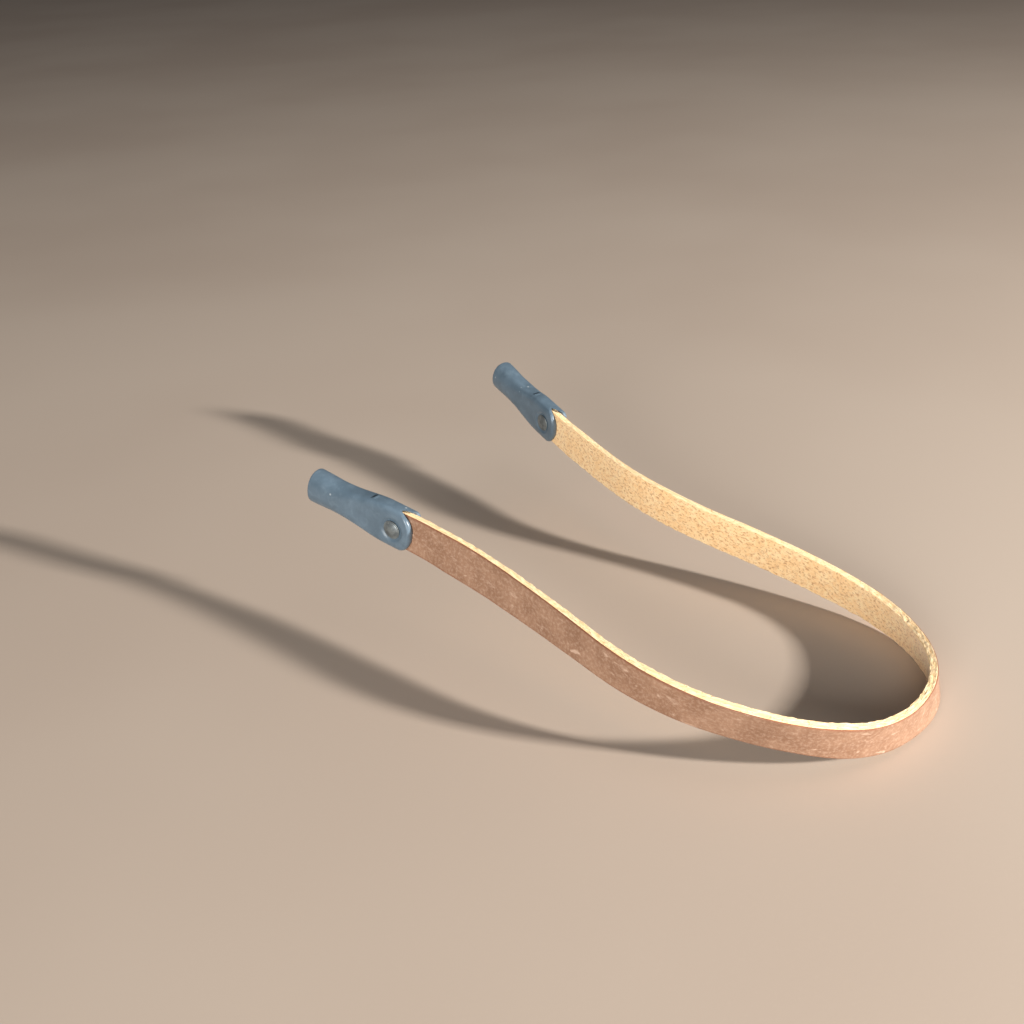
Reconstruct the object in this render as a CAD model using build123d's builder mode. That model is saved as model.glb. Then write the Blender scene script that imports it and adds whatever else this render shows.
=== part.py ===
from build123d import *
import os

# Leather eyeglass retainer strap: one flat leather strap, a rubber temple grip at
# each end and one double-cap rivet through each grip. Millimetres, +Z up.
# Origin: the middle of the strap's inner face at the back of the loop, where it
# rests on the wearer's neck. +X runs forward to the grips, +Y to the wearer's left.

# ---- driving dimensions -------------------------------------------------------
strap_width = 12.7
strap_thickness = 2.6
leather_past_rivet = 7.0

grip_length = 42.0
grip_tip_past_rivet = 7.2
mouth_width = 12.0
mouth_thickness = 9.6
waist_width = 10.8
waist_thickness = 8.0
neck_swell = 1.1
waist_swell = 1.04
neck_share = 0.33
waist_share = 0.66
mouth_rounding = 0.49
neck_rounding = 0.47
waist_rounding = 0.45
sleeve_rounding = 0.36
sleeve_wall = 2.0
sleeve_side_wall = 0.55
sleeve_corner_radius = 4.5
socket_radius = 2.8
socket_depth = 22.0
left_grip_bend = 0.0
right_grip_bend = 2.0

cap_radius = 3.2
cap_rim = 0.5
cap_dome = 0.9
cap_dome_taper = 50
cap_recess = 0.6
post_radius = 1.5
post_flange = 0.7

# ---- named clearances ---------------------------------------------------------
pocket_face_clearance = 0.15
pocket_edge_clearance = 0.4
pocket_end_clearance = 0.6
post_clearance = 0.05
cap_side_clearance = 0.15
cap_seat_clearance = 0.05
flex_clearance = 0.10

# ---- the strap's route, from the left leather end to the right one -------------
back = -strap_thickness / 2
route = [
    Vector(165.8, 43.8, 32.5),
    Vector(136.6, 41.1, 26.6),
    Vector(99.0, 45.4, 21.1),
    Vector(52.5, 54.0, 14.5),
    Vector(15.5, 41.0, 8.0),
    Vector(back, 16.5, 0.0),
    Vector(back, -16.5, 0.0),
    Vector(24.5, -42.0, -1.0),
    Vector(61.5, -47.0, 4.5),
    Vector(118.3, -41.7, 14.4),
    Vector(163.1, -58.1, 17.5),
    Vector(190.8, -66.7, 24.5),
]
up = Vector(0, 0, 1)
arc_share = 0.45

# ---- values worked out from the sizes above ------------------------------------
pocket_gap = strap_thickness + 2 * pocket_face_clearance
pocket_width = strap_width + 2 * pocket_edge_clearance
sleeve_width = pocket_width + 2 * sleeve_side_wall
sleeve_outer = pocket_gap / 2 + sleeve_wall
cap_seat = sleeve_outer - cap_recess
leather_reach = (leather_past_rivet**2 + (strap_width / 2) ** 2) ** 0.5
pocket_end = -leather_reach - pocket_end_clearance
mouth_x = grip_tip_past_rivet - grip_length
through = 2 * sleeve_width


def corner_radii(points):
    """Arc radius at each corner: a fixed share of the shorter run beside it."""
    radii = []
    for before, corner, after in zip(points, points[1:], points[2:]):
        run_in, run_out = corner - before, after - corner
        half_turn = run_in.get_angle(run_out) / 2
        shorter = min(run_in.length, run_out.length)
        lean = Vector(1, 0, 0).rotate(Axis.Z, half_turn)
        radii.append(arc_share * shorter * lean.X / lean.Y)
    return radii


def grip_frame(end, inner):
    """Frame at a rivet: x along the strap into the loop, z out of its grain face."""
    along = (inner - end).normalized()
    level = Vector(along.X, along.Y, 0).normalized()
    outward = level.cross(up)
    outward = outward if outward.Y * end.Y > 0 else outward * -1
    return Plane(origin=end + along * leather_past_rivet, x_dir=along, z_dir=outward)


def tilted(frame, angle):
    """The same frame turned about its rivet by an angle in degrees."""
    turned = frame.x_dir.rotate(Axis((0, 0, 0), frame.z_dir), angle)
    return Plane(origin=frame.origin, x_dir=turned, z_dir=frame.z_dir)


def cross_plane(frame, x):
    """Plane across a grip at x, with its own x over the grip's width."""
    return Plane(
        origin=frame.from_local_coords(Vector(x, 0, 0)),
        x_dir=frame.y_dir,
        z_dir=frame.x_dir,
    )


left_frame = grip_frame(route[0], route[1])
right_frame = grip_frame(route[-1], route[-2])
left_tube_frame = tilted(left_frame, -left_grip_bend)
right_tube_frame = tilted(right_frame, right_grip_bend)
radii = corner_radii(route)
section_dir = route[1] - route[0]
section_plane = Plane(
    origin=route[0],
    x_dir=up,
    z_dir=Vector(section_dir.X, section_dir.Y, 0).normalized(),
)


def make_strap(side):
    """Half of the leather strap, with its rivet hole and its share of the flex."""
    frame = left_frame if side == "left" else right_frame
    with BuildPart() as half:
        with BuildLine() as path:
            FilletPolyline(*route, radius=radii)
        with BuildLine() as edge_guide:
            FilletPolyline(*[p + up * strap_width for p in route], radius=radii)
        with BuildSketch(section_plane):
            Rectangle(strap_width, strap_thickness)
        sweep(path=path.wires()[0], binormal=edge_guide.wires()[0])
        split(bisect_by=Plane.XZ, keep=Keep.BOTTOM if side == "left" else Keep.TOP)
        with BuildSketch(Plane(origin=(back, 0, -strap_width / 2))):
            reach = 0 if side == "left" else flex_clearance
            Circle(strap_thickness / 2 + reach)
        extrude(
            amount=strap_width,
            mode=Mode.ADD if side == "left" else Mode.SUBTRACT,
        )
        with BuildSketch(frame.offset(-strap_thickness)):
            Circle(post_radius + post_clearance)
        extrude(amount=2 * strap_thickness, mode=Mode.SUBTRACT)
    return half


def make_grip(frame, tube_frame):
    """Moulded rubber grip: a flat sleeve over the strap, then a tube at its bend."""
    sleeve_depth = 2 * sleeve_outer
    neck_x = mouth_x + neck_share * (pocket_end - mouth_x)
    waist_x = mouth_x + waist_share * (pocket_end - mouth_x)
    neck_width = (mouth_width + waist_width) / 2
    stations = [
        (frame, pocket_end, sleeve_width, sleeve_depth, sleeve_rounding),
        (
            tube_frame,
            waist_x,
            waist_width * waist_swell,
            waist_thickness,
            waist_rounding,
        ),
        (
            tube_frame,
            neck_x,
            neck_width,
            waist_thickness * neck_swell,
            neck_rounding,
        ),
        (tube_frame, mouth_x, mouth_width, mouth_thickness, mouth_rounding),
    ]
    with BuildPart() as grip:
        with BuildSketch(cross_plane(frame, pocket_end)):
            RectangleRounded(sleeve_width, sleeve_depth, sleeve_rounding * sleeve_depth)
        extrude(amount=grip_tip_past_rivet - pocket_end)
        with BuildSketch(frame.offset(-through / 2)):
            with Locations((mouth_x, 0)):
                RectangleRounded(2 * grip_length, sleeve_width, sleeve_corner_radius)
        extrude(amount=through, mode=Mode.INTERSECT)
        for station_frame, x, width, depth, rounding in stations:
            with BuildSketch(cross_plane(station_frame, x)):
                RectangleRounded(width, depth, radius=rounding * min(width, depth))
        loft()
        with BuildSketch(frame.offset(-pocket_gap / 2)):
            with Locations(((pocket_end + through) / 2, 0)):
                Rectangle(through - pocket_end, pocket_width)
        extrude(amount=pocket_gap, mode=Mode.SUBTRACT)
        with BuildSketch(cross_plane(tube_frame, mouth_x)):
            Circle(socket_radius)
        extrude(amount=socket_depth, mode=Mode.SUBTRACT)
        with BuildSketch(frame.offset(-through / 2)):
            Circle(post_radius + post_clearance)
        extrude(amount=through, mode=Mode.SUBTRACT)
        for side in (1, -1):
            with BuildSketch(frame.offset(side * cap_seat)):
                Circle(cap_radius + cap_side_clearance)
            extrude(amount=side * through, mode=Mode.SUBTRACT)
    return grip


def make_rivet_cap(frame):
    """Domed cap in the outer sleeve recess, with a blind hole for the post."""
    seat = cap_seat + cap_seat_clearance
    with BuildPart() as cap:
        with BuildSketch(frame.offset(seat)):
            Circle(cap_radius)
        extrude(amount=cap_rim)
        with BuildSketch(frame.offset(seat + cap_rim)):
            Circle(cap_radius)
        extrude(amount=cap_dome, taper=cap_dome_taper)
        with BuildSketch(frame.offset(seat)):
            Circle(post_radius)
        extrude(amount=cap_rim, mode=Mode.SUBTRACT)
    return cap


def make_rivet_post(frame):
    """Flanged post from the inner sleeve recess through to the cap."""
    seat = cap_seat + cap_seat_clearance
    with BuildPart() as post:
        with BuildSketch(frame.offset(-seat)):
            Circle(cap_radius)
        extrude(amount=-post_flange)
        fillet(post.edges().sort_by_distance(frame.origin)[-1], radius=post_flange / 2)
        with BuildSketch(frame.offset(-seat)):
            Circle(post_radius)
        extrude(amount=2 * seat + cap_rim)
    return post


os.makedirs("parts", exist_ok=True)
for side, frame, tube_frame in (
    ("left", left_frame, left_tube_frame),
    ("right", right_frame, right_tube_frame),
):
    pieces = {
        f"leather_strap_{side}": make_strap(side),
        f"{side}_temple_grip": make_grip(frame, tube_frame),
        f"{side}_rivet_cap": make_rivet_cap(frame),
        f"{side}_rivet_post": make_rivet_post(frame),
    }
    for name, piece in pieces.items():
        piece.part.label = name
        export_step(piece.part, f"parts/{name}.step")
    socket_middle = Vector(mouth_x + socket_depth / 2, 0, 0)
    print(side, "rivet", frame.origin, "outward", frame.z_dir, "along", frame.x_dir)
    print(
        side,
        "socket middle",
        tube_frame.from_local_coords(socket_middle),
        "out",
        tube_frame.x_dir * -1,
    )
with BuildLine() as centreline:
    FilletPolyline(*route, radius=radii)
print("corner radii", [round(r, 1) for r in radii])
print("strap length", round(sum(e.length for e in centreline.edges()), 1))
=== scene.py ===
"""Leather eyeglass retainer strap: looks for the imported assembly, in metres.

One flat leather strap runs from a moulded rubber temple grip, round the back of
the neck, to a second grip. A double-cap rivet holds each grip on the leather.
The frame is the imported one: +X runs forward to the grips, +Y to the wearer's
left, +Z up, and the origin is the middle of the inner face at the back.
"""

from __future__ import annotations

import logging
import math
from dataclasses import dataclass, field
from enum import Enum

import bmesh
import bpy
import numpy as np
from mathutils import Matrix, Vector


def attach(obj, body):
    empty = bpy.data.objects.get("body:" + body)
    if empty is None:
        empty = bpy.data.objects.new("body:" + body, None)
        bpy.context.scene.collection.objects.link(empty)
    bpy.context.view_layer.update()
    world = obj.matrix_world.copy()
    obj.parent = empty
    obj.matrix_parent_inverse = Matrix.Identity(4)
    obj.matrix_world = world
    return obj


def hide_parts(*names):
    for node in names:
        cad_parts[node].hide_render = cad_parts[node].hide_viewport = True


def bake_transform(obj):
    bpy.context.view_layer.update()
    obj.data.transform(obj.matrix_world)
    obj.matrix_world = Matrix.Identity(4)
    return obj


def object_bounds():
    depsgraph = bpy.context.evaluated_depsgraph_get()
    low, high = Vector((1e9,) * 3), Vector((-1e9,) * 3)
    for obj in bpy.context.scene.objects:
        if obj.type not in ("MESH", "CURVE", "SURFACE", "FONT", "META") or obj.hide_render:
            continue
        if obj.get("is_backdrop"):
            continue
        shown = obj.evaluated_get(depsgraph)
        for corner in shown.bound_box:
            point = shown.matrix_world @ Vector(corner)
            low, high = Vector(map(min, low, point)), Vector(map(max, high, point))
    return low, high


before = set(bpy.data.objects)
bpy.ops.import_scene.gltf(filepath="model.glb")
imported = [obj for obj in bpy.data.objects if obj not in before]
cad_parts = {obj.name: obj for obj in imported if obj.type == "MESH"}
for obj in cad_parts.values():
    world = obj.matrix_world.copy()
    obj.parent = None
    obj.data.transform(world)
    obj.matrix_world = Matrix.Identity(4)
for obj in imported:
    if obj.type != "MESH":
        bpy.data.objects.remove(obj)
log = logging.getLogger("retainer_strap")

MM = 0.001
Colour = tuple[float, float, float, float]

# The strap's centreline in millimetres, from the left leather end to the right.
ROUTE = np.array(
    [
        (165.8, 43.8, 32.5),
        (136.6, 41.1, 26.6),
        (99.0, 45.4, 21.1),
        (52.5, 54.0, 14.5),
        (15.5, 41.0, 8.0),
        (-1.3, 16.5, 0.0),
        (-1.3, -16.5, 0.0),
        (24.5, -42.0, -1.0),
        (61.5, -47.0, 4.5),
        (118.3, -41.7, 14.4),
        (163.1, -58.1, 17.5),
        (190.8, -66.7, 24.5),
    ]
)


class Side(Enum):
    """The wearer's side that a grip and its rivet belong to."""

    LEFT = "left"
    RIGHT = "right"


class Slot(Enum):
    """The record's material slots."""

    LEATHER = "strap_leather"
    RUBBER = "grip_rubber"
    METAL = "rivet_metal"


# ---- small helpers on arrays and meshes ---------------------------------------


def smoothstep(t: np.ndarray) -> np.ndarray:
    """The cubic 3t^2 - 2t^3 with t held between 0 and 1.

    Args:
        t: Any array.

    Returns:
        An array of the same shape, from 0 to 1.
    """
    t = np.clip(t, 0.0, 1.0)
    return t * t * (3.0 - 2.0 * t)


def unit(v: np.ndarray) -> np.ndarray:
    """Rows of v divided by their own lengths."""
    return v / np.linalg.norm(v, axis=-1, keepdims=True)


def lattice_noise(x: np.ndarray, y: np.ndarray, seed: int) -> np.ndarray:
    """Value noise: random numbers on a unit lattice, eased between by smoothstep.

    Args:
        x: First coordinate, in lattice cells.
        y: Second coordinate, in lattice cells, same shape.
        seed: Which random lattice.

    Returns:
        Values from -1 to 1 in the shape of x.
    """
    size = 257
    table = np.random.default_rng(seed).uniform(-1.0, 1.0, (size, size))
    i, j = np.floor(x).astype(int), np.floor(y).astype(int)
    u, v = smoothstep(x - i), smoothstep(y - j)
    a = table[i % size, j % size] * (1 - u) + table[(i + 1) % size, j % size] * u
    b = (
        table[i % size, (j + 1) % size] * (1 - u)
        + table[(i + 1) % size, (j + 1) % size] * u
    )
    return a * (1 - v) + b * v


def quads(rows: int, cols: int, wrap: bool = False) -> np.ndarray:
    """Corner indices of the quads of a grid.

    Args:
        rows: Number of rows.
        cols: Number of columns.
        wrap: Whether the last column joins the first.

    Returns:
        An array of shape (faces, 4) of indices into the flattened grid.
    """
    i = np.arange(rows - 1)[:, None]
    j = np.arange(cols if wrap else cols - 1)[None, :]
    after = (j + 1) % cols
    return np.stack(
        [i * cols + j, (i + 1) * cols + j, (i + 1) * cols + after, i * cols + after],
        axis=-1,
    ).reshape(-1, 4)


def new_object(name: str, data: bpy.types.ID) -> bpy.types.Object:
    """An object for the data, at the world's origin, linked to the scene."""
    obj = bpy.data.objects.new(name, data)
    bpy.context.scene.collection.objects.link(obj)
    return obj


def stand_for(obj: bpy.types.Object, node: str, body: str) -> None:
    """Lets the object take a CAD node's place, on a body."""
    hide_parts(node)
    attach(obj, body)
    log.info("%s: %d points", obj.name, len(obj.data.vertices))


@dataclass
class Surface:
    """Grids of points gathered into one mesh, in millimetres."""

    name: str
    points: list[np.ndarray] = field(default_factory=list)
    faces: list[list[int]] = field(default_factory=list)
    count: int = 0

    def grid(self, grid: np.ndarray, wrap: bool = False) -> None:
        """Adds a grid of points and its quads.

        Args:
            grid: Points of shape (rows, cols, 3).
            wrap: Whether the last column joins the first.
        """
        rows, cols = grid.shape[:2]
        self.faces += (quads(rows, cols, wrap) + self.count).tolist()
        self.points.append(grid.reshape(-1, 3))
        self.count += rows * cols

    def fan(self, ring: np.ndarray) -> None:
        """Closes a ring of points with triangles to its middle."""
        n = len(ring)
        centre = ring.mean(axis=0, keepdims=True)
        around = np.arange(n)
        tris = np.stack([around, (around + 1) % n, np.full(n, n)], axis=-1)
        self.faces += (tris + self.count).tolist()
        self.points.append(np.concatenate([ring, centre]))
        self.count += n + 1

    def build(self, place: np.ndarray, merge: float = 1e-6) -> bpy.types.Object:
        """Makes the closed mesh object, at the origin with its place in its mesh.

        Args:
            place: 4x4 matrix from the surface's own millimetres to the frame.
            merge: Distance in metres under which points become one.

        Returns:
            The linked object, smooth shaded, faces outwards.
        """
        local = np.concatenate(self.points)
        world = local @ place[:3, :3].T + place[:3, 3]
        mesh = bpy.data.meshes.new(self.name)
        mesh.from_pydata((world * MM).tolist(), [], self.faces)
        bm = bmesh.new()
        bm.from_mesh(mesh)
        bmesh.ops.remove_doubles(bm, verts=bm.verts, dist=merge)
        bmesh.ops.recalc_face_normals(bm, faces=bm.faces)
        bm.to_mesh(mesh)
        bm.free()
        mesh.shade_smooth()
        return new_object(self.name, mesh)


# ---- shader building blocks -----------------------------------------------------


class Nodes:
    """Short way to add and join nodes in one tree."""

    def __init__(self, tree: bpy.types.NodeTree) -> None:
        """Keeps the tree that the nodes go into."""
        self.tree = tree

    def add(self, kind: str, values: dict | None = None, **props) -> bpy.types.Node:
        """Adds a node.

        Args:
            kind: The node's Blender type.
            values: Input socket values by name or index; a socket there is linked.
            **props: Node properties.

        Returns:
            The new node.
        """
        node = self.tree.nodes.new(kind)
        for key, value in props.items():
            setattr(node, key, value)
        for key, value in (values or {}).items():
            self.put(node.inputs[key], value)
        return node

    def put(self, socket: bpy.types.NodeSocket, value: object) -> None:
        """Sets a socket to a value, or links another socket into it."""
        if isinstance(value, bpy.types.NodeSocket):
            self.tree.links.new(value, socket)
        else:
            socket.default_value = value

    def math(self, operation: str, a: object, b: object = 0.0) -> bpy.types.NodeSocket:
        """The result of a Math node on two values or sockets, held to 0..1."""
        node = self.add("ShaderNodeMath", {0: a, 1: b}, operation=operation)
        node.use_clamp = True
        return node.outputs[0]

    def ramp(
        self, value: object, low: float, high: float, start: float = 0.0, end: float = 1.0
    ) -> bpy.types.NodeSocket:
        """A smooth step of value from low to high, put out from start to end."""
        node = self.add(
            "ShaderNodeMapRange",
            {0: value, 1: low, 2: high, 3: start, 4: end},
            interpolation_type="SMOOTHSTEP",
        )
        return node.outputs[0]

    def mix(self, mask: object, a: object, b: object) -> bpy.types.NodeSocket:
        """Colour a where mask is 0, colour b where it is 1."""
        node = self.add("ShaderNodeMix", data_type="RGBA")
        self.put(node.inputs["Factor"], mask)
        colours = [s for s in node.inputs if s.type == "RGBA"]
        self.put(colours[0], a)
        self.put(colours[1], b)
        return next(s for s in node.outputs if s.type == "RGBA")

    def stain(
        self, colour: object, mask: object, share: float, tint: Colour
    ) -> bpy.types.NodeSocket:
        """The colour with a share of a tint laid over it where mask is 1."""
        return self.mix(self.math("MULTIPLY", mask, share), colour, tint)

    def satin(self, shader: object, mask: object, plain: float, covered: float) -> None:
        """Roughness from plain, where mask is 0, to covered, where it is 1."""
        self.put(shader.inputs["Roughness"], self.ramp(mask, 0.0, 1.0, plain, covered))

    def relief(self, shader: object, height: object, strength: float, distance: float) -> None:
        """Bumps the shader's normal by a height from 0 to 1, over a distance in metres."""
        values = {"Strength": strength, "Distance": distance, "Height": height}
        self.put(shader.inputs["Normal"], self.add("ShaderNodeBump", values).outputs[0])

    def noise(
        self, vector: object, scale: float, detail: float = 3.0, rough: float = 0.6
    ) -> bpy.types.NodeSocket:
        """The value of a Noise Texture."""
        node = self.add(
            "ShaderNodeTexNoise",
            {"Vector": vector, "Scale": scale, "Detail": detail, "Roughness": rough},
        )
        return node.outputs[0]

    def mask(self, tree: bpy.types.NodeTree, **values) -> bpy.types.NodeSocket:
        """The mask from a node group that is placed with its named inputs."""
        node = self.tree.nodes.new("ShaderNodeGroup")
        node.node_tree = tree
        for key, value in values.items():
            self.put(node.inputs[key], value)
        return node.outputs[0]


def new_group(name: str, values: tuple[str, ...]) -> tuple:
    """A node group with an input Vector, named value inputs and an output Mask.

    Args:
        name: The group's name.
        values: Names of its value inputs.

    Returns:
        The tree, its Nodes helper, its input node and its output node.
    """
    tree = bpy.data.node_groups.new(name, "ShaderNodeTree")
    tree.interface.new_socket("Vector", in_out="INPUT", socket_type="NodeSocketVector")
    for key in values:
        tree.interface.new_socket(key, in_out="INPUT", socket_type="NodeSocketFloat")
    tree.interface.new_socket("Mask", in_out="OUTPUT", socket_type="NodeSocketFloat")
    nodes = Nodes(tree)
    return tree, nodes, nodes.add("NodeGroupInput"), nodes.add("NodeGroupOutput")


class Effects:
    """Node groups that several finishes share, each made once."""

    def __init__(self) -> None:
        """Makes the groups."""
        self.flecks = self.make_flecks()
        self.dust = self.make_dust()

    def make_flecks(self) -> bpy.types.NodeTree:
        """Irregular flecks: noise above a level, with a soft rim."""
        tree, n, source, sink = new_group("flecks", ("Scale", "Level", "Softness"))
        noise = n.add(
            "ShaderNodeTexNoise",
            {
                "Vector": source.outputs["Vector"],
                "Scale": source.outputs["Scale"],
                "Detail": 4.0,
                "Roughness": 0.62,
                "Distortion": 0.5,
            },
        )
        limits = {0: source.outputs["Level"], 1: source.outputs["Softness"]}
        low = n.add("ShaderNodeMath", limits, operation="SUBTRACT").outputs[0]
        high = n.add("ShaderNodeMath", limits, operation="ADD").outputs[0]
        n.put(sink.inputs["Mask"], n.ramp(noise.outputs[0], low, high))
        return tree

    def make_dust(self) -> bpy.types.NodeTree:
        """Sparse round specks: near a cell's seed, in the few cells that are chosen."""
        tree, n, source, sink = new_group("dust", ("Scale", "Share"))
        cells = n.add(
            "ShaderNodeTexVoronoi",
            {"Vector": source.outputs["Vector"], "Scale": source.outputs["Scale"]},
        )
        near = n.ramp(cells.outputs["Distance"], 0.10, 0.28, 1.0, 0.0)
        split = n.add("ShaderNodeSeparateColor", {0: cells.outputs["Color"]})
        level = n.add(
            "ShaderNodeMath", {0: 1.0, 1: source.outputs["Share"]}, operation="SUBTRACT"
        )
        chosen = n.add(
            "ShaderNodeMath",
            {0: split.outputs[0], 1: level.outputs[0]},
            operation="GREATER_THAN",
        )
        n.put(sink.inputs["Mask"], n.math("MULTIPLY", near, chosen.outputs[0]))
        return tree


def new_material(name: str) -> tuple:
    """A material with an empty Principled shader.

    Args:
        name: The material's name.

    Returns:
        The material, its Nodes helper and its Principled node.
    """
    material = bpy.data.materials.new(name)
    material.use_nodes = True
    material.node_tree.nodes.clear()
    n = Nodes(material.node_tree)
    shader = n.add("ShaderNodeBsdfPrincipled")
    n.add("ShaderNodeOutputMaterial", {"Surface": shader.outputs[0]})
    return material, n, shader


def srgb(red: int, green: int, blue: int) -> Colour:
    """The linear colour of three display values from 0 to 255."""

    def linear(value: float) -> float:
        """One channel's display value made linear."""
        value /= 255.0
        return value / 12.92 if value <= 0.04045 else ((value + 0.055) / 1.055) ** 2.4

    return linear(red), linear(green), linear(blue), 1.0


@dataclass(frozen=True)
class GrainFinish:
    """Waxed outer face of the leather: mottled brown, faint scuffs, fine pores."""

    base: Colour = srgb(156, 121, 97)
    dark: Colour = srgb(136, 101, 78)
    pale: Colour = srgb(214, 184, 162)
    rim: Colour = srgb(132, 84, 60)
    roughness: float = 0.5

    def material(self, effects: Effects) -> bpy.types.Material:
        """Makes the material on the strap's own UV map, in metres."""
        material, n, shader = new_material("leather_grain")
        uv = n.add("ShaderNodeUVMap", uv_map="strap_uv").outputs[0]
        stretched = n.add(
            "ShaderNodeMapping", {"Vector": uv, "Scale": (0.35, 1.0, 1.0)}
        ).outputs[0]
        clouds = n.ramp(n.noise(uv, 90.0, 4.0, 0.65), 0.35, 0.68)
        colour = n.mix(clouds, self.dark, self.base)
        fine = n.ramp(n.noise(uv, 900.0, 3.0, 0.7), 0.42, 0.72)
        colour = n.stain(colour, fine, 0.30, self.pale)
        scuffs = n.mask(effects.flecks, Vector=stretched, Scale=420.0, Level=0.66, Softness=0.07)
        colour = n.stain(colour, scuffs, 0.6, self.pale)
        specks = n.mask(effects.dust, Vector=uv, Scale=420.0, Share=0.10)
        colour = n.stain(colour, specks, 0.5, self.pale)
        rim = n.add("ShaderNodeAttribute", attribute_name="rim").outputs["Fac"]
        colour = n.stain(colour, rim, 0.85, self.rim)
        n.put(shader.inputs["Base Color"], colour)
        rough = n.ramp(
            n.noise(uv, 260.0, 3.0, 0.6), 0.3, 0.7, self.roughness - 0.08, self.roughness + 0.1
        )
        n.put(shader.inputs["Roughness"], rough)
        pores = n.add(
            "ShaderNodeTexVoronoi", {"Vector": uv, "Scale": 1500.0, "Randomness": 1.0}
        ).outputs["Distance"]
        creases = n.noise(stretched, 500.0, 4.0, 0.6)
        height = n.math(
            "ADD", n.math("MULTIPLY", pores, 0.35), n.math("MULTIPLY", creases, 0.65)
        )
        n.relief(shader, height, 0.35, 0.00012)
        shader.inputs["Specular IOR Level"].default_value = 0.42
        return material


@dataclass(frozen=True)
class FleshFinish:
    """Suede inner face of the leather: golden nap with dark fibre flecks."""

    base: Colour = srgb(252, 214, 160)
    pale: Colour = srgb(255, 226, 178)
    dark: Colour = srgb(192, 132, 84)
    mid: Colour = srgb(240, 190, 132)
    roughness: float = 0.92

    def material(self, effects: Effects) -> bpy.types.Material:
        """Makes the material on the strap's own UV map, in metres."""
        material, n, shader = new_material("leather_flesh")
        uv = n.add("ShaderNodeUVMap", uv_map="strap_uv").outputs[0]
        turned = n.add(
            "ShaderNodeMapping",
            {"Vector": uv, "Rotation": (0.0, 0.0, 0.6), "Scale": (0.55, 1.0, 1.0)},
        ).outputs[0]
        patches = n.ramp(n.noise(uv, 160.0, 4.0, 0.7), 0.36, 0.66)
        colour = n.mix(patches, self.base, self.pale)
        soft = n.mask(effects.flecks, Vector=uv, Scale=700.0, Level=0.54, Softness=0.12)
        colour = n.stain(colour, soft, 0.55, self.mid)
        sharp = n.mask(effects.flecks, Vector=turned, Scale=1500.0, Level=0.575, Softness=0.06)
        colour = n.stain(colour, sharp, 0.7, self.dark)
        n.put(shader.inputs["Base Color"], colour)
        n.satin(shader, soft, self.roughness, self.roughness - 0.1)
        nap = n.noise(turned, 1300.0, 5.0, 0.75)
        height = n.math("SUBTRACT", nap, n.math("MULTIPLY", sharp, 0.5))
        n.relief(shader, height, 0.7, 0.00025)
        shader.inputs["Sheen Weight"].default_value = 0.25
        shader.inputs["Sheen Roughness"].default_value = 0.5
        shader.inputs["Specular IOR Level"].default_value = 0.2
        return material


@dataclass(frozen=True)
class EdgeFinish:
    """Cut edge of the leather: pale fibres in layers along the strap."""

    base: Colour = srgb(244, 204, 150)
    pale: Colour = srgb(252, 226, 184)
    dark: Colour = srgb(186, 134, 84)
    rim: Colour = srgb(120, 68, 42)
    roughness: float = 0.85

    def material(self, effects: Effects) -> bpy.types.Material:
        """Makes the material on the strap's own UV map, in metres."""
        material, n, shader = new_material("leather_cut_edge")
        uv = n.add("ShaderNodeUVMap", uv_map="strap_uv").outputs[0]
        layered = n.add(
            "ShaderNodeMapping", {"Vector": uv, "Scale": (0.22, 1.0, 1.0)}
        ).outputs[0]
        layers = n.ramp(n.noise(layered, 1400.0, 3.0, 0.6), 0.35, 0.65)
        colour = n.mix(layers, self.base, self.pale)
        pits = n.mask(effects.flecks, Vector=uv, Scale=900.0, Level=0.64, Softness=0.05)
        colour = n.stain(colour, pits, 0.6, self.dark)
        rim = n.add("ShaderNodeAttribute", attribute_name="rim").outputs["Fac"]
        colour = n.mix(n.ramp(rim, 0.35, 0.8), colour, self.rim)
        n.put(shader.inputs["Base Color"], colour)
        n.satin(shader, layers, self.roughness, self.roughness - 0.12)
        n.relief(shader, n.math("SUBTRACT", layers, n.math("MULTIPLY", pits, 0.6)), 0.6, 0.0002)
        shader.inputs["Specular IOR Level"].default_value = 0.25
        return material


@dataclass(frozen=True)
class RubberFinish:
    """Moulded dark blue-grey rubber: satin, faintly blotched, with dust on it."""

    base: Colour = srgb(94, 112, 126)
    dark: Colour = srgb(84, 101, 114)
    bloom: Colour = srgb(118, 136, 148)
    dust: Colour = srgb(176, 184, 188)
    roughness: float = 0.36

    def material(self, effects: Effects) -> bpy.types.Material:
        """Makes the material on Object coordinates, in metres."""
        material, n, shader = new_material("moulded_rubber")
        place = n.add("ShaderNodeTexCoord").outputs["Object"]
        blotch = n.ramp(n.noise(place, 140.0, 4.0, 0.6), 0.36, 0.66)
        colour = n.mix(blotch, self.dark, self.base)
        haze = n.mask(effects.flecks, Vector=place, Scale=330.0, Level=0.6, Softness=0.12)
        colour = n.stain(colour, haze, 0.3, self.bloom)
        specks = n.mask(effects.dust, Vector=place, Scale=520.0, Share=0.05)
        colour = n.stain(colour, specks, 0.75, self.dust)
        n.put(shader.inputs["Base Color"], colour)
        n.satin(shader, blotch, self.roughness - 0.05, self.roughness + 0.07)
        fine = n.noise(place, 1800.0, 3.0, 0.6)
        height = n.math(
            "ADD", n.math("MULTIPLY", fine, 0.5), n.math("MULTIPLY", specks, 0.4)
        )
        n.relief(shader, height, 0.22, 0.0001)
        shader.inputs["Specular IOR Level"].default_value = 0.55
        return material


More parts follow.
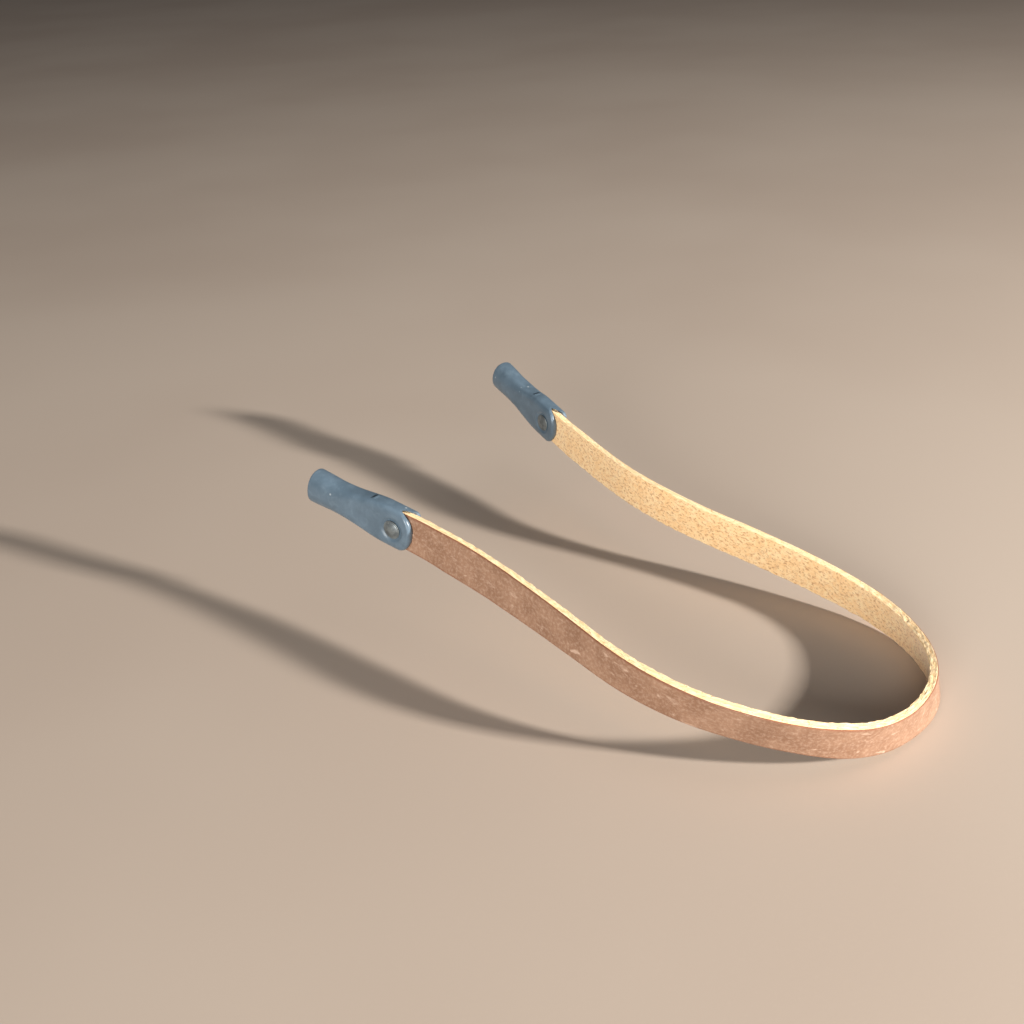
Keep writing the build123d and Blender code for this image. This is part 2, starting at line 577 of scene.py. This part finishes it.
@dataclass(frozen=True)
class MetalFinish:
    """Gunmetal plating: dark, softly bright, worn a little paler on high spots."""

    base: Colour = srgb(132, 140, 142)
    dark: Colour = srgb(100, 107, 110)
    worn: Colour = srgb(176, 178, 172)
    roughness: float = 0.42

    def material(self, effects: Effects) -> bpy.types.Material:
        """Makes the material on Object coordinates, in metres."""
        material, n, shader = new_material("gunmetal")
        place = n.add("ShaderNodeTexCoord").outputs["Object"]
        cloud = n.ramp(n.noise(place, 420.0, 4.0, 0.6), 0.35, 0.65)
        colour = n.mix(cloud, self.dark, self.base)
        wear = n.mask(effects.flecks, Vector=place, Scale=1300.0, Level=0.66, Softness=0.05)
        colour = n.stain(colour, wear, 0.6, self.worn)
        n.put(shader.inputs["Base Color"], colour)
        n.satin(shader, cloud, self.roughness + 0.08, self.roughness - 0.04)
        n.relief(shader, n.noise(place, 2600.0, 3.0, 0.6), 0.15, 0.00005)
        shader.inputs["Metallic"].default_value = 0.6
        return material


@dataclass(frozen=True)
class PaperFinish:
    """Seamless studio paper, warm and matte with a faint tooth."""

    base: Colour = srgb(184, 167, 152)
    pale: Colour = srgb(191, 175, 160)
    roughness: float = 0.9

    def material(self, effects: Effects) -> bpy.types.Material:
        """Makes the material on Object coordinates, in metres."""
        material, n, shader = new_material("studio_paper")
        place = n.add("ShaderNodeTexCoord").outputs["Object"]
        drift = n.ramp(n.noise(place, 3.0, 3.0, 0.5), 0.3, 0.7)
        tooth = n.noise(place, 900.0, 2.0, 0.6)
        colour = n.mix(drift, self.base, self.pale)
        flecks = n.mask(effects.flecks, Vector=place, Scale=700.0, Level=0.66, Softness=0.08)
        colour = n.stain(colour, flecks, 0.25, self.pale)
        n.put(shader.inputs["Base Color"], colour)
        shader.inputs["Roughness"].default_value = self.roughness
        shader.inputs["Specular IOR Level"].default_value = 0.15
        n.relief(shader, tooth, 0.15, 0.0001)
        return material


# ---- camera, floor and light ------------------------------------------------------


@dataclass(frozen=True)
class Lamp:
    """A square area light by its direction from the strap.

    Azimuth is in degrees from +X towards +Y, elevation in degrees above the floor,
    distance and size, its side, in metres, and power in watts.
    """

    name: str
    azimuth: float
    elevation: float
    distance: float
    size: float
    power: float
    tint: tuple[float, float, float]


@dataclass
class Studio:
    """Camera, floor and lights round the strap."""

    eye: tuple[float, float, float] = (-0.120793, 0.296042, 0.223675)
    right: tuple[float, float, float] = (-0.75891, -0.64837, -0.06061)
    up: tuple[float, float, float] = (0.25337, -0.37975, 0.88972)
    lens: float = 46.16
    centre: tuple[float, float, float] = (0.095, -0.01, 0.01)
    floor_size: float = 6.0
    lamps: tuple[Lamp, ...] = (
        Lamp("key", 195.0, 18.0, 1.5, 0.10, 52.0, (1.0, 0.965, 0.92)),
        Lamp("front_fill", 112.0, 14.0, 2.6, 1.3, 84.0, (1.0, 0.98, 0.95)),
        Lamp("top_fill", 230.0, 75.0, 1.4, 0.8, 1.0, (0.95, 0.98, 1.0)),
    )
    surround: Colour = (0.92, 0.94, 1.0, 1.0)
    surround_strength: float = 0.09

    def camera(self) -> None:
        """Makes the camera from its right and up directions and its eye point."""
        right = Vector(self.right).normalized()
        back = right.cross(Vector(self.up)).normalized()
        up = back.cross(right)
        data = bpy.data.cameras.new("studio_camera")
        data.lens = self.lens
        data.sensor_width = 36.0
        data.clip_start, data.clip_end = 0.01, 20.0
        obj = new_object("studio_camera", data)
        turn = Matrix((right, up, back)).transposed().to_4x4()
        obj.matrix_world = Matrix.Translation(Vector(self.eye)) @ turn
        bpy.context.scene.camera = obj

    def floor(self, height: float, effects: Effects) -> None:
        """Makes the paper floor, a flat grid at a height in metres."""
        half = self.floor_size / 2 / MM
        line = np.linspace(-half, half, 9)
        x, y = np.meshgrid(line, line, indexing="ij")
        grid = np.stack([x, y, np.full_like(x, height / MM)], axis=-1)
        surface = Surface("studio_floor")
        surface.grid(grid)
        obj = surface.build(np.eye(4))
        if obj.data.polygons[0].normal.z < 0:
            obj.data.flip_normals()
        obj.data.materials.append(PaperFinish().material(effects))
        obj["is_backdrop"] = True

    def light(self, lamp: Lamp) -> None:
        """Makes a square area light that faces the strap."""
        a, e = math.radians(lamp.azimuth), math.radians(lamp.elevation)
        away = Vector((math.cos(a) * math.cos(e), math.sin(a) * math.cos(e), math.sin(e)))
        data = bpy.data.lights.new(lamp.name, "AREA")
        data.shape = "SQUARE"
        data.size = lamp.size
        data.energy = lamp.power
        data.color = lamp.tint
        obj = new_object(lamp.name, data)
        obj.location = Vector(self.centre) + away * lamp.distance
        obj.rotation_euler = away.to_track_quat("Z", "Y").to_euler()

    def lights(self) -> None:
        """Makes the low key light, the broad front fill, the top fill and the surround."""
        for lamp in self.lamps:
            self.light(lamp)
        world = bpy.data.worlds.new("surround")
        world.use_nodes = True
        shade = world.node_tree.nodes["Background"]
        shade.inputs[0].default_value = self.surround
        shade.inputs[1].default_value = self.surround_strength
        bpy.context.scene.world = world


# ---- the strap ----------------------------------------------------------------------


@dataclass
class LeatherStrap:
    """The flat leather strap: a ribbon on edge along the route."""

    width: float = 12.7
    thickness: float = 2.6
    grain_corner: float = 0.45
    flesh_corner: float = 0.22
    sleeve_reach: float = 14.2
    lean_at: tuple[float, ...] = (
        0, 12, 34, 54, 73, 93, 113, 133, 153, 173, 192, 206, 218, 232,
        252, 272, 292, 311, 331, 351, 371, 391, 410, 420,
    )
    lean: tuple[float, ...] = (
        0, -3, -9.6, -8.1, -4.3, 1.4, 8.2, 15.1, 19.5, 18.8, 11.3, 0, -9, -12,
        -10, -7.2, -4.0, -0.8, 2.0, 3.5, 3.7, 3.2, 1, 0,
    )

    def line(self) -> tuple[np.ndarray, float]:
        """Reads the centreline from the route's spline, made straight inside the sleeves.

        Returns:
            Points along the smooth line in millimetres, and its length.
        """
        curve = bpy.data.curves.new("strap_line", "CURVE")
        curve.dimensions = "3D"
        spline = curve.splines.new("NURBS")
        spline.points.add(len(ROUTE) - 1)
        for point, place in zip(spline.points, ROUTE * MM):
            point.co = (*place, 1.0)
        spline.order_u = 3
        spline.use_endpoint_u = True
        spline.resolution_u = 64
        holder = new_object("strap_line", curve)
        bpy.context.view_layer.update()
        mesh = bpy.data.meshes.new_from_object(holder)
        points = np.zeros(len(mesh.vertices) * 3)
        mesh.vertices.foreach_get("co", points)
        bpy.data.objects.remove(holder)
        bpy.data.meshes.remove(mesh)
        points = points.reshape(-1, 3) / MM
        for order, end, inner in ((1, ROUTE[0], ROUTE[1]), (-1, ROUTE[-1], ROUTE[-2])):
            run = points[::order]
            gaps = np.linalg.norm(np.diff(run, axis=0), axis=1)
            along = np.concatenate([[0.0], np.cumsum(gaps)])[:, None]
            share = smoothstep((along - self.sleeve_reach) / self.sleeve_reach)
            straight = end + along * unit(inner - end)
            points[::order] = straight + (run - straight) * share
        return points, float(np.linalg.norm(np.diff(points, axis=0), axis=1).sum())

    def profile(self) -> tuple[np.ndarray, np.ndarray, np.ndarray]:
        """The cross-section: a rectangle with rounded corners, as a closed loop.

        Returns:
            Points (across the thickness, up the width), distance round the loop,
            and which face each segment belongs to: 0 grain, 1 edge, 2 flesh.
        """
        t, w = self.thickness / 2, self.width / 2
        turn = np.linspace(0.0, 1.0, 5)[1:-1] * math.pi / 2
        corners = (
            (t, -w, -math.pi / 2, self.grain_corner),
            (t, w, 0.0, self.grain_corner),
            (-t, w, math.pi / 2, self.flesh_corner),
            (-t, -w, math.pi, self.flesh_corner),
        )
        counts = (30, 9, 30, 9)
        points, kinds = [], []
        for k, (cx, cy, start, radius) in enumerate(corners):
            nx, ny, nstart, nradius = corners[(k + 1) % 4]
            middle = np.array([cx - math.copysign(radius, cx), cy - math.copysign(radius, cy)])
            angles = start + np.concatenate([[0.0], turn, [math.pi / 2]])
            arc = middle + radius * np.stack([np.cos(angles), np.sin(angles)], axis=-1)
            nmiddle = np.array([nx - math.copysign(nradius, nx), ny - math.copysign(nradius, ny)])
            nfirst = nmiddle + nradius * np.array([math.cos(nstart), math.sin(nstart)])
            share = np.linspace(0.0, 1.0, counts[k] + 1)[1:-1, None]
            run = arc[-1] * (1 - share) + nfirst * share
            points += [arc, run]
            face = (0, 1, 2, 1)[k]
            before = (1, 0, 1, 2)[k]
            half = len(arc) // 2
            kinds += [before] * half + [face] * (len(arc) - 1 - half)
            kinds += [face] * (len(run) + 1)
        loop = np.concatenate(points)
        step = np.linalg.norm(np.roll(loop, -1, axis=0) - loop, axis=1)
        return loop, np.concatenate([[0.0], np.cumsum(step)]), np.array(kinds)

    def frames(self, line: np.ndarray) -> tuple[np.ndarray, ...]:
        """Directions along, out of the grain face and up the width at each point.

        The width direction is the vertical made square to the line, then leaned
        outwards about the line by the lean angle at that distance.

        Args:
            line: The centreline.

        Returns:
            Distance along the line, outward directions and width directions.
        """
        step = np.linalg.norm(np.diff(line, axis=0), axis=1)
        along = np.concatenate([[0.0], np.cumsum(step)])
        tangent = unit(np.gradient(line, along, axis=0))
        outward = unit(np.cross(tangent, (0.0, 0.0, 1.0)))
        upward = np.cross(outward, tangent)
        scaled = np.array(self.lean_at) * along[-1] / self.lean_at[-1]
        even = np.arange(0.0, along[-1], 1.0)
        raw = np.interp(even, scaled, self.lean)
        reach = 9
        weights = np.hanning(2 * reach + 3)[1:-1]
        padded = np.pad(raw, reach, mode="edge")
        smooth = np.convolve(padded, weights / weights.sum(), mode="valid")
        angle = np.radians(np.interp(along, even, smooth))[:, None]
        width_dir = upward * np.cos(angle) + outward * np.sin(angle)
        out_dir = outward * np.cos(angle) - upward * np.sin(angle)
        return along, out_dir, width_dir

    def build(self, effects: Effects) -> None:
        """Makes the ribbon, its UV map and its finishes.

        Each point is the line's point, plus the profile's two numbers along the
        outward and width directions. The flesh side and the cut edges are pushed
        in and out by two scales of value noise, for nap and ragged fibres.

        Args:
            effects: The shared node groups.
        """
        line, length = self.line()
        along, out_dir, width_dir = self.frames(line)
        loop, round_it, kinds = self.profile()
        rows, cols = len(line), len(loop)
        s = np.repeat(along[:, None], cols, axis=1)
        p = np.repeat(round_it[None, :-1], rows, axis=0)
        a = np.repeat(loop[None, :, 0], rows, axis=0)
        b = np.repeat(loop[None, :, 1], rows, axis=0)
        inner = smoothstep((0.35 - a / self.thickness) / 0.6)
        edge = smoothstep((np.abs(b) - self.width / 2 + 0.9) / 0.8)
        nap = 0.035 * lattice_noise(s / 0.9, p / 0.9, 3) * inner * (1 - edge)
        rag = edge * (
            (0.03 + 0.09 * inner) * lattice_noise(s / 1.3, p / 0.7, 5)
            + 0.05 * lattice_noise(s / 6.0, p / 3.0, 8)
        )
        free = smoothstep((along - 13.0) / 4.0) * smoothstep((along[-1] - 13.0 - along) / 4.0)
        wave = 0.10 * lattice_noise(along / 17.0, along * 0.0, 12)
        a = a - (nap + 0.5 * rag * inner) * free[:, None]
        b = b + np.sign(b) * (rag + wave[:, None] * edge) * free[:, None]
        grid = (
            line[:, None, :]
            + a[..., None] * out_dir[:, None, :]
            + b[..., None] * width_dir[:, None, :]
        )
        verts = grid.reshape(-1, 3) * MM
        faces = quads(rows, cols, wrap=True)
        ends = [list(range(cols))[::-1], list(range((rows - 1) * cols, rows * cols))]
        mesh = bpy.data.meshes.new("leather_strap")
        mesh.from_pydata(verts.tolist(), [], faces.tolist() + ends)
        u = np.repeat(along[:, None], cols + 1, axis=1)
        v = np.repeat(round_it[None, :], rows, axis=0)
        flat = np.stack([u, v], axis=-1).reshape(-1, 2) * MM
        corners = quads(rows, cols + 1)
        uv = mesh.uv_layers.new(name="strap_uv")
        values = np.zeros((len(mesh.loops), 2), np.float32)
        values[: corners.size] = flat[corners.ravel()]
        uv.data.foreach_set("uv", values.ravel())
        rim = smoothstep((a / (self.thickness / 2) - 0.55) / 0.4) * smoothstep(
            (np.abs(b) - self.width / 2 + 0.75) / 0.6
        )
        layer = mesh.attributes.new("rim", "FLOAT", "POINT")
        layer.data.foreach_set("value", rim.astype(np.float32).ravel())
        for finish in (GrainFinish(), EdgeFinish(), FleshFinish()):
            mesh.materials.append(finish.material(effects))
        index = np.concatenate([np.tile(kinds, rows - 1), [1, 1]]).astype(np.int32)
        mesh.polygons.foreach_set("material_index", index)
        mesh.shade_smooth()
        obj = new_object("leather_strap", mesh)
        if signed_volume(mesh) < 0:
            mesh.flip_normals()
        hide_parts("leather_strap_left", "leather_strap_right")
        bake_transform(obj)
        log.info("leather_strap: %d points, %.1f mm long", len(verts), length)


def signed_volume(mesh: bpy.types.Mesh) -> float:
    """Volume under a closed mesh's triangles, above 0 where faces point outwards."""
    mesh.calc_loop_triangles()
    points = np.zeros(len(mesh.vertices) * 3)
    mesh.vertices.foreach_get("co", points)
    points = points.reshape(-1, 3)
    corners = np.zeros(len(mesh.loop_triangles) * 3, np.int32)
    mesh.loop_triangles.foreach_get("vertices", corners)
    a, b, c = np.moveaxis(points[corners.reshape(-1, 3)], 1, 0)
    return float(np.einsum("ij,ij->i", a, np.cross(b, c)).sum() / 6)


# ---- grips and rivets -----------------------------------------------------------------


@dataclass
class RivetPlace:
    """Where a rivet sits on the strap."""

    side: Side
    leather_past_rivet: float = 7.0

    def matrix(self) -> np.ndarray:
        """The frame at the rivet as a 4x4 matrix in millimetres.

        x runs along the strap into the loop, z out of the grain face.

        Returns:
            The matrix.
        """
        end, inner = (ROUTE[0], ROUTE[1]) if self.side is Side.LEFT else (ROUTE[-1], ROUTE[-2])
        x = unit(inner - end)
        level = unit(np.array([x[0], x[1], 0.0]))
        z = np.cross(level, (0.0, 0.0, 1.0))
        z = z * math.copysign(1.0, z[1] * end[1])
        place = np.eye(4)
        place[:3, 0], place[:3, 1], place[:3, 2] = x, np.cross(z, x), z
        place[:3, 3] = end + x * self.leather_past_rivet
        return place


@dataclass
class TempleGrip:
    """Moulded rubber grip: an oval tube with a socket, a waist and a flat sleeve."""

    place: RivetPlace
    bend: float
    tongue_side: int
    length: float = 42.0
    tip: float = 7.2
    mouth_half_width: float = 6.0
    mouth_half_depth: float = 4.8
    waist_half: float = 5.4
    sleeve_half: float = 7.3
    sleeve_outer: float = 3.45
    pocket_half_width: float = 6.95
    pocket_half_gap: float = 1.45
    pocket_end: float = -10.05
    waist_at: float = -20.5
    socket_radius: float = 2.8
    socket_depth: float = 22.0
    tongue_radius: float = 6.3
    square_radius: float = 2.4
    dimple_radius: float = 3.4
    dimple_reach: float = 1.25
    dimple_depth: float = 0.6
    shoulder: float = -4.0
    mouth_power: float = 2.2
    sleeve_power: float = 4.6
    pocket_power: float = 20.0
    oval_length: float = 8.0
    rim_length: float = 1.1
    rim_drop: float = 0.42
    columns: int = 168

    @property
    def mouth(self) -> float:
        """Where the mouth's end face is, along x."""
        return self.tip - self.length

    def half_width(self, x: np.ndarray) -> np.ndarray:
        """Half the width: mouth to waist to sleeve, eased by two smoothsteps."""
        inward = smoothstep((x - self.mouth) / (self.waist_at - self.mouth))
        outward = smoothstep((x - self.waist_at) / (self.shoulder - self.waist_at))
        return (
            self.mouth_half_width
            + (self.waist_half - self.mouth_half_width) * inward
            + (self.sleeve_half - self.waist_half) * outward
        )

    def half_depth(self, x: np.ndarray) -> np.ndarray:
        """Half the depth: the mouth's, eased down to the sleeve's outer face."""
        share = smoothstep((x - self.mouth - 5.0) / (self.pocket_end - self.mouth - 4.0))
        return self.mouth_half_depth + (self.sleeve_outer - self.mouth_half_depth) * share

    def flatness(self, x: np.ndarray) -> np.ndarray:
        """How much of the sleeve's section there is: 0 in the oval tube, 1 at the pocket."""
        start = self.mouth + self.oval_length
        return smoothstep((x - start) / (self.pocket_end - start))

    def power(self, x: np.ndarray) -> np.ndarray:
        """Superellipse power: an oval's at the mouth, nearly a box's over the sleeve."""
        return self.mouth_power + (self.sleeve_power - self.mouth_power) * self.flatness(x)

    @staticmethod
    def ring(
        a: np.ndarray, b: np.ndarray, power: np.ndarray, angle: np.ndarray
    ) -> tuple[np.ndarray, np.ndarray]:
        """Superellipse by polar angle: r = (|cos/a|^p + |sin/b|^p)^(-1/p).

        Args:
            a: Half width.
            b: Half depth.
            power: The power p.
            angle: Polar angles.

        Returns:
            The y and z coordinates.
        """
        c, s = np.cos(angle), np.sin(angle)
        r = (np.abs(c / a) ** power + np.abs(s / b) ** power) ** (-1.0 / power)
        return r * c, r * s

    def even_angles(self, a: float, b: float, power: float) -> np.ndarray:
        """Polar angles that put the columns an equal distance apart round a ring.

        Args:
            a: Half width.
            b: Half depth.
            power: The superellipse power.

        Returns:
            Angles from 0 up to, but not with, a full turn.
        """
        fine = np.linspace(0.0, math.pi / 2, 6001)
        y, z = self.ring(a, b, power, fine)
        along = np.concatenate([[0.0], np.cumsum(np.hypot(np.diff(y), np.diff(z)))])
        quarter = np.interp(
            np.linspace(0.0, along[-1], self.columns // 4 + 1), along, fine
        )[:-1]
        half = np.concatenate([quarter, [math.pi / 2], math.pi - quarter[:0:-1]])
        return np.concatenate([half, half + math.pi])

    def turned(self, points: np.ndarray) -> np.ndarray:
        """Bends points about the rivet's axis: none over the sleeve, all past the waist.

        Args:
            points: Points in the rivet's frame.

        Returns:
            The bent points.
        """
        x, y = points[..., 0], points[..., 1]
        start = self.pocket_end + 1.0
        share = smoothstep((start - x) / (start - self.waist_at))
        angle = math.radians(self.bend) * share
        out = points.copy()
        out[..., 0] = x * np.cos(angle) - y * np.sin(angle)
        out[..., 1] = x * np.sin(angle) + y * np.cos(angle)
        return out

    def sleeve_end(self, y: np.ndarray, z: np.ndarray) -> np.ndarray:
        """Where the sleeve ends: the tip less a rounded corner's quarter circle.

        The corner radius is the tongue's on one face, the square cut's on the other,
        eased from one to the other round the sides.

        Args:
            y: Across the width.
            z: Through the depth.

        Returns:
            The end's x at each point.
        """
        share = smoothstep(self.tongue_side * z / self.sleeve_outer / 0.8 + 0.5)
        radius = self.square_radius + (self.tongue_radius - self.square_radius) * share
        into = np.clip(np.abs(y) - (self.sleeve_half - radius), 0.0, radius)
        drop = radius - np.sqrt(np.clip(radius**2 - into**2, 0.0, None))
        return self.tip - drop * 0.9

    def dimple(self, x: np.ndarray, y: np.ndarray) -> np.ndarray:
        """Depth of the round dimple for the rivet, eased out past its radius."""
        reach = np.hypot(x, y) - self.dimple_radius
        return self.dimple_depth * (1.0 - smoothstep(reach / self.dimple_reach))

    def tube(self) -> np.ndarray:
        """The outer rings from the mouth, with its rounded lip, to the pocket's end."""
        lip = np.linspace(0.0, 1.4, 12)
        rest = np.linspace(1.4, self.pocket_end - self.mouth, 56)[1:]
        x = self.mouth + np.concatenate([lip, rest])[:, None]
        round_angles = self.mouth_angles()
        angle = round_angles + (self.sleeve_angles() - round_angles) * self.flatness(x)
        y, z = self.ring(self.half_width(x), self.half_depth(x), self.power(x), angle)
        from_edge = np.clip((x - self.mouth) / 0.5, 0.0, 1.0)
        inset = 1.0 - 0.05 * (1.0 - np.sqrt(1.0 - (1.0 - from_edge) ** 2))
        return np.stack([np.broadcast_to(x, y.shape), y * inset, z * inset], axis=-1)

    def mouth_angles(self) -> np.ndarray:
        """The columns' polar angles round the mouth."""
        return self.even_angles(self.mouth_half_width, self.mouth_half_depth, self.mouth_power)

    def sleeve_angles(self) -> np.ndarray:
        """The columns' polar angles over the sleeve."""
        return self.even_angles(self.sleeve_half, self.sleeve_outer, self.sleeve_power)

    def sleeve(self) -> np.ndarray:
        """The outer rings over the sleeve, each share of the way to its rounded end."""
        share = np.linspace(0.0, 1.0, 78)[1:, None]
        angle = self.sleeve_angles()[None, :]
        y_end, z_end = self.ring(self.sleeve_half, self.sleeve_outer, self.sleeve_power, angle)
        end = self.sleeve_end(y_end, z_end)
        x = self.pocket_end + (end - self.pocket_end) * share
        y, z = self.ring(self.half_width(x), self.half_depth(x), self.power(x), angle)
        near = np.clip((x - end + self.rim_length) / self.rim_length, 0.0, 1.0)
        lip = self.rim_drop * (1.0 - np.sqrt(1.0 - 0.92 * near**2))
        z = z * (1.0 - lip)
        y = y - np.sign(y) * (np.abs(y) - self.pocket_half_width).clip(0) * lip
        z = z - np.sign(z) * np.minimum(self.dimple(x, y), np.abs(z) * 0.3)
        return np.stack([np.broadcast_to(x, y.shape), y, z], axis=-1)

    def pocket(self, last: np.ndarray) -> np.ndarray:
        """The pocket's rings from its mouth, at the sleeve's end, in to its floor.

        Args:
            last: The sleeve's last outer ring.

        Returns:
            Rings of points, the last one small so that a fan closes it.
        """
        section = (self.pocket_half_width, self.pocket_half_gap, self.pocket_power)
        y, z = self.ring(*section, self.even_angles(*section))
        share = np.concatenate([[0.0, 0.02], np.linspace(0.06, 1.0, 16)])[:, None]
        flare = 1.0 + 0.05 * (1.0 - smoothstep(share / 0.03))
        x = last[None, :, 0] + (self.pocket_end - last[None, :, 0]) * share
        walls = np.stack([x, y * flare, z * flare], axis=-1)
        floor = np.stack([np.full_like(y, self.pocket_end), y * 0.2, z * 0.2], axis=-1)
        return np.concatenate([walls, floor[None]])

    def bore(self, first: np.ndarray) -> np.ndarray:
        """The socket's rings from its floor out to the mouth's end face.

        Args:
            first: The tube's first outer ring.

        Returns:
            Rings of points, the first one small so that a fan closes it.
        """
        angle = self.mouth_angles()
        circle = np.stack([np.zeros_like(angle), np.cos(angle), np.sin(angle)], axis=-1)
        floor_x = self.mouth + self.socket_depth
        stops = (
            (floor_x + 0.8, 0.35 * self.socket_radius),
            (floor_x, self.socket_radius),
            *((x, self.socket_radius) for x in np.linspace(floor_x - 2.0, self.mouth + 1.0, 9)),
            (self.mouth + 0.35, self.socket_radius + 0.06),
            (self.mouth, self.socket_radius + 0.4),
        )
        rings = np.stack([circle * radius + (x, 0.0, 0.0) for x, radius in stops])
        share = np.linspace(0.0, 1.0, 8)[1:-1, None, None]
        rim = rings[-1][None] * (1 - share) + first[None] * share
        return np.concatenate([rings, rim])

    def build(self, rubber: bpy.types.Material) -> None:
        """Makes the grip in its place, in rubber, and lets it stand for its CAD node."""
        name = self.place.side.value
        tube, sleeve = self.tube(), self.sleeve()
        pocket, bore = self.pocket(sleeve[-1]), self.bore(tube[0])
        share = np.linspace(0.0, 1.0, 7)[1:-1, None, None]
        end = sleeve[-1][None] * (1 - share) + pocket[0][None] * share
        rings = self.turned(np.concatenate([bore, tube, sleeve, end, pocket]))
        surface = Surface(f"{name}_grip_rubber")
        surface.grid(rings, wrap=True)
        surface.fan(rings[0])
        surface.fan(rings[-1])
        obj = surface.build(self.place.matrix(), merge=2e-6)
        obj.data.materials.append(rubber)
        stand_for(obj, f"{name}_temple_grip", f"{name}_grip")


@dataclass
class Rivet:
    """Double-cap rivet: a domed cap outside and a flanged post inside."""

    place: RivetPlace
    seat: float = 2.9
    radius: float = 3.2
    shank: float = 1.5
    rim: float = 0.5
    bevel: float = 0.15
    cap_crown: float = 0.75
    post_crown: float = 0.3
    around: int = 96

    def lathe(
        self, name: str, profile: list[tuple[float, float]], sign: int
    ) -> bpy.types.Object:
        """Makes a piece turned about z from a profile of radius and height.

        Args:
            name: The piece's name.
            profile: Radius and height pairs from the lower pole to the upper one.
            sign: +1, or -1 to turn the piece over.

        Returns:
            The object.
        """
        angle = np.linspace(0.0, 2 * math.pi, self.around, endpoint=False)
        radius, height = np.array(profile).T
        grid = np.stack(
            [
                radius[:, None] * np.cos(angle),
                radius[:, None] * np.sin(angle),
                np.repeat(sign * height[:, None], self.around, axis=1),
            ],
            axis=-1,
        )
        surface = Surface(name)
        surface.grid(grid, wrap=True)
        surface.fan(grid[0])
        surface.fan(grid[-1])
        return surface.build(self.place.matrix(), merge=2e-6)

    def head(self, base: float, rim: float, crown: float) -> list[tuple[float, float]]:
        """Profile of a head: a rolled rim, a fine step, then a shallow dome.

        The rim is a half circle. The dome is crown times the cosine easing of the
        radius, from the step to the middle.

        Args:
            base: Height of its underside.
            rim: Height of the rolled rim.
            crown: How far the dome stands above the rim.

        Returns:
            Radius and height pairs, from the rim's underside to the middle.
        """
        turn = np.linspace(-math.pi / 2, math.pi / 2, 11)
        roll = rim / 2
        edge = [
            (self.radius - roll + roll * math.cos(a), base + roll + roll * math.sin(a))
            for a in turn
        ]
        step = self.radius - roll - 0.12
        rings = np.linspace(1.0, 0.03, 18)
        dome = [
            (step * r, base + rim - 0.06 * (r > 0.985) + crown * math.cos(r * math.pi / 2))
            for r in rings
        ]
        return edge + dome

    def build(self, metal: bpy.types.Material) -> None:
        """Makes the cap and the post in their places, in metal."""
        name = self.place.side.value
        base = self.seat + 0.02
        inner = self.radius - self.rim
        under = [(0.05, self.seat + 0.1), (inner, self.seat + 0.05)]
        cap = self.lathe(
            f"{name}_cap_metal", under + self.head(base, self.rim, self.cap_crown), 1
        )
        top = -(self.seat + 0.05)
        shank = [
            (0.05, top),
            (self.shank - self.bevel, top),
            (self.shank, top + self.bevel),
            (self.shank, self.seat - 0.1),
            (inner, self.seat),
        ]
        post = self.lathe(
            f"{name}_post_metal", shank + self.head(base, self.rim, self.post_crown), -1
        )
        for obj, node in ((cap, f"{name}_rivet_cap"), (post, f"{name}_rivet_post")):
            obj.data.materials.append(metal)
            stand_for(obj, node, f"strap_{name}")


def main() -> None:
    """Builds the camera, the strap, the grips and rivets, then the studio."""
    logging.basicConfig(level=logging.INFO, format="%(name)s: %(message)s")
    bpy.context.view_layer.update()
    bpy.context.scene.view_settings.view_transform = "Standard"
    studio = Studio()
    studio.camera()
    effects = Effects()
    LeatherStrap().build(effects)
    rubber = RubberFinish().material(effects)
    metal = MetalFinish().material(effects)
    for side, bend, tongue in ((Side.LEFT, 0.0, 1), (Side.RIGHT, 2.0, -1)):
        place = RivetPlace(side)
        TempleGrip(place, bend, tongue).build(rubber)
        Rivet(place).build(metal)
    low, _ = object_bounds()
    studio.floor(low.z, effects)
    studio.lights()


if __name__ == "__main__":
    main()
